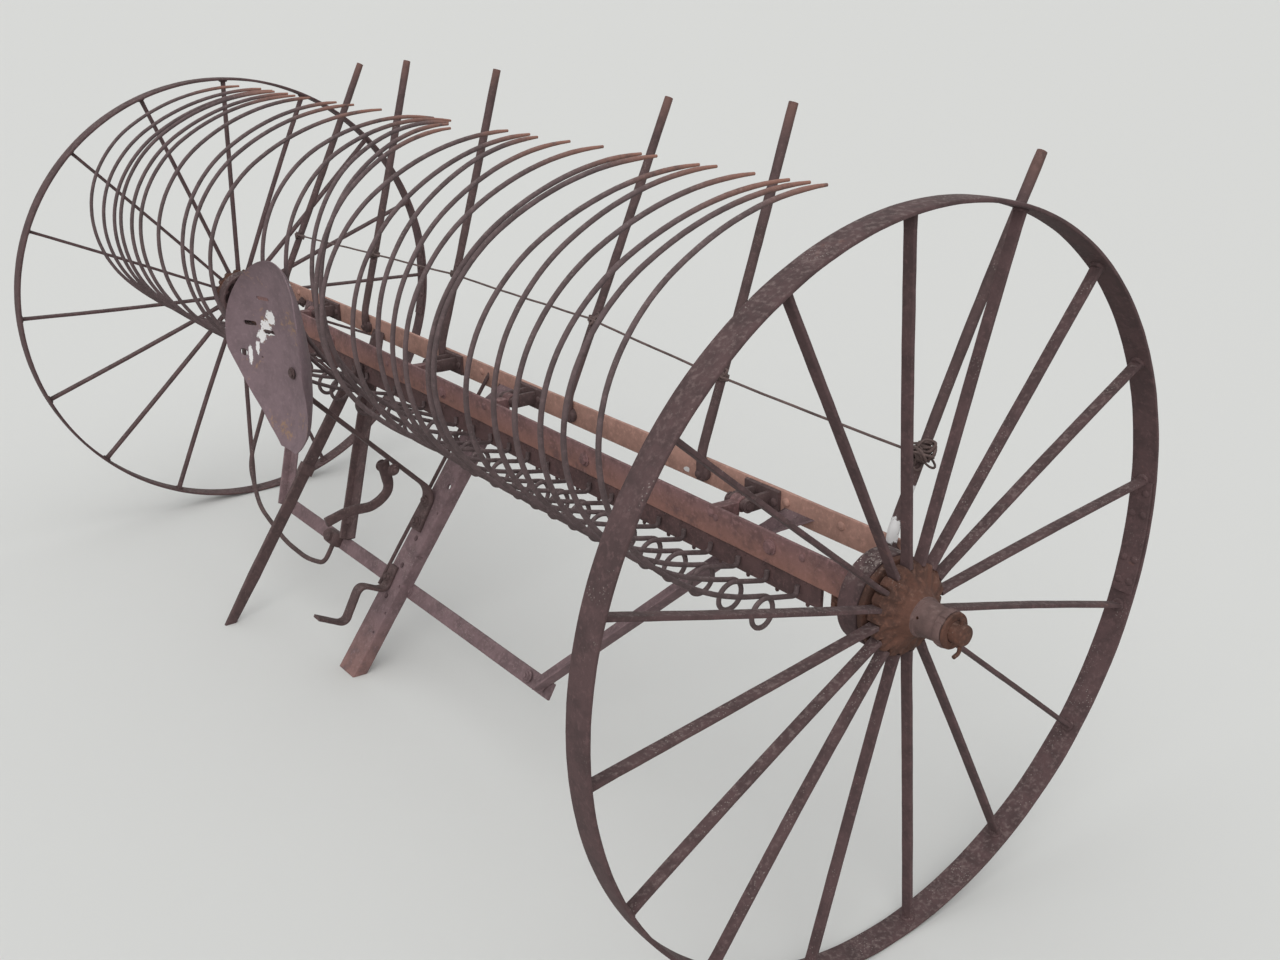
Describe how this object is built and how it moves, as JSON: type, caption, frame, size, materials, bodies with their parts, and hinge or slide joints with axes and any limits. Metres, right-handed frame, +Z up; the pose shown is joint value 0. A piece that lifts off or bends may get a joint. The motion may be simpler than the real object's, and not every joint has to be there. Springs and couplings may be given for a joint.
{
  "type": "horse-drawn hay rake",
  "caption": "Rusty two-wheeled horse-drawn hay rake with curved steel teeth, a pressed seat on a spring bar, cleaner rods and spoked iron wheels.",
  "frame": {"origin": "on the ground below the middle of the axle line", "axes": "+Z up, -Y the way it travels, +X toward its near (left) wheel"},
  "size_m": [3.189, 1.4, 1.4755],
  "materials": {
    "wheel_iron": "matte, dark purplish brown rust",
    "tooth_steel": "matte, dark brown rust, tips orange brown",
    "beam_rust": "matte, mottled red brown rust",
    "orange_rust": "matte, orange rust",
    "hub_rust": "rough cast, brown rust with ochre",
    "frame_rust": "matte, purple brown rust",
    "seat_rust": "pressed sheet, brown rust with pale stains",
    "wire": "dull wire"
  },
  "bodies": {
    "frame": {"rear_angle": "orange_rust", "leg_near": "frame_rust", "leg_far": "frame_rust", "cross_strap": "frame_rust", "brace_near": "frame_rust", "brace_far": "frame_rust", "cleaner_rods": "frame_rust", "tie_wire": "wire", "hinge_brackets": "frame_rust", "hinge_pins": "frame_rust", "seat_bar": "frame_rust", "seat_pan": "seat_rust", "foot_lever": "frame_rust", "pedal": "frame_rust", "latch_casting": "frame_rust", "bent_rod": "frame_rust", "trip_rod": "frame_rust"},
    "rake_head": {"main_beam": "beam_rust", "tooth_holder": "beam_rust", "teeth_near": "tooth_steel", "teeth_far": "tooth_steel", "hinge_lugs": "beam_rust", "hand_lever": "frame_rust", "beam_bolts": "beam_rust", "spindle_near": "hub_rust", "spindle_far": "hub_rust", "linch_pin_near": "hub_rust", "linch_pin_far": "hub_rust"},
    "wheel_near": {"rim_near": "wheel_iron", "spokes_near": "wheel_iron", "hub_near": "hub_rust", "drum_near": "hub_rust"},
    "wheel_far": {"rim_far": "wheel_iron", "spokes_far": "wheel_iron", "hub_far": "hub_rust", "drum_far": "hub_rust"}
  },
  "joints": [
    {"name": "head_lift", "type": "hinge", "parent": "frame", "child": "rake_head", "pos_m": [0, 0.045, 0.73], "axis": [-1, 0, 0], "range_deg": [0, 112]},
    {"name": "wheel_near_spin", "type": "hinge", "parent": "rake_head", "child": "wheel_near", "pos_m": [1.47, 0, 0.7], "axis": [1, 0, 0], "continuous": true},
    {"name": "wheel_far_spin", "type": "hinge", "parent": "rake_head", "child": "wheel_far", "pos_m": [-1.47, 0, 0.7], "axis": [1, 0, 0], "continuous": true}
  ]
}
